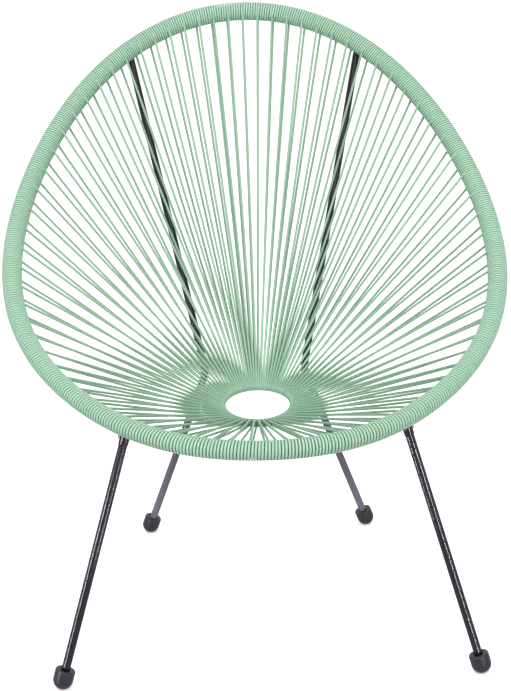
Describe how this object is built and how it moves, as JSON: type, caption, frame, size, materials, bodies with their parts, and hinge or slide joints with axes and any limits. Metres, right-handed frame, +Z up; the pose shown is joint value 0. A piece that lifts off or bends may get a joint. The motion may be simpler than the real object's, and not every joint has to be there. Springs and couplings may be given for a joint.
{
  "type": "acapulco chair",
  "caption": "Egg-shaped lounge chair with a wound rim, a strung cord seat around a small ring, and splayed rod legs with foot caps.",
  "frame": {"origin": "on the floor, under the middle of the chair's overall box", "axes": "+Z up, -Y is where the sitter faces, +X to the right of a viewer in front of the chair"},
  "size_m": [0.7514, 0.8092, 0.868],
  "materials": {
    "green_cord": "mint green vinyl cord, satin",
    "black_steel": "near-black powder coat, satin",
    "cap_plastic": "dark grey moulded plastic",
    "zinc": "zinc-plated screw"
  },
  "bodies": {
    "root": {"foot_cap_front_left": "cap_plastic", "foot_cap_front_right": "cap_plastic", "foot_cap_rear_left": "cap_plastic", "foot_cap_rear_right": "cap_plastic", "front_bar_left": "black_steel", "front_bar_right": "black_steel", "front_leg_left": "black_steel", "front_leg_right": "black_steel", "leg_screw_left": "zinc", "leg_screw_right": "zinc", "leg_socket_left": "black_steel", "leg_socket_right": "black_steel", "rear_frame_left": "black_steel", "rear_frame_right": "black_steel", "rim_tube": "black_steel", "seat_cord_01": "green_cord", "seat_cord_02": "green_cord", "seat_cord_03": "green_cord", "seat_cord_04": "green_cord", "seat_cord_05": "green_cord", "seat_cord_06": "green_cord", "seat_cord_07": "green_cord", "seat_cord_08": "green_cord", "seat_cord_09": "green_cord", "seat_cord_10": "green_cord", "seat_cord_11": "green_cord", "seat_cord_12": "green_cord", "seat_cord_13": "green_cord", "seat_ring": "black_steel"}
  },
  "joints": []
}
